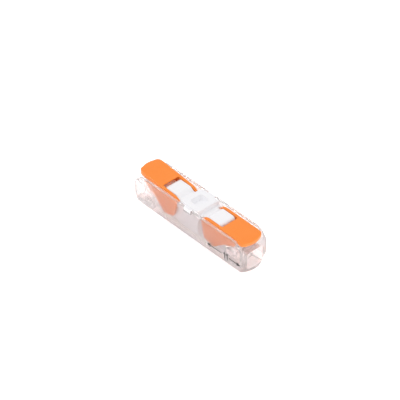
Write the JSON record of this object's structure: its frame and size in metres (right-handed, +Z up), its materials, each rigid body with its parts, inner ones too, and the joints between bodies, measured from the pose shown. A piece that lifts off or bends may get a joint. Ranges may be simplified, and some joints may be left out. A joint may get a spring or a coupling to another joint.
{
  "type": "lever wire connector",
  "caption": "Inline splicing connector for electrical wires: clear housing, white insert and orange clamping levers over leaf springs and a current bar.",
  "frame": {"origin": "centre of the flat underside", "axes": "+X along the conductors, +Y across, +Z up towards the levers"},
  "size_m": [0.0368, 0.0082, 0.0093],
  "materials": {
    "clear_plastic": "clear moulded polycarbonate",
    "white_plastic": "white moulded, satin gloss",
    "orange_plastic": "orange moulded, satin gloss",
    "tinned_copper": "tin plated copper",
    "spring_steel": "stainless spring strip"
  },
  "bodies": {
    "housing": {"clear_housing": "clear_plastic", "insert_carrier": "white_plastic", "current_bar": "tinned_copper", "clamping_spring_left": "spring_steel", "clamping_spring_right": "spring_steel"},
    "left_lever": {"lever_left": "orange_plastic"},
    "right_lever": {"lever_right": "orange_plastic"}
  },
  "joints": [
    {"name": "left_lever_swing", "type": "hinge", "parent": "housing", "child": "left_lever", "pos_m": [-0.0074, 0, 0.005], "axis": [0, 1, 0], "range_deg": [-5.5, 84.5], "deforming": ["clamping_spring_left"]},
    {"name": "right_lever_swing", "type": "hinge", "parent": "housing", "child": "right_lever", "pos_m": [0.0074, 0, 0.005], "axis": [0, -1, 0], "range_deg": [0, 90], "deforming": ["clamping_spring_right"]}
  ]
}
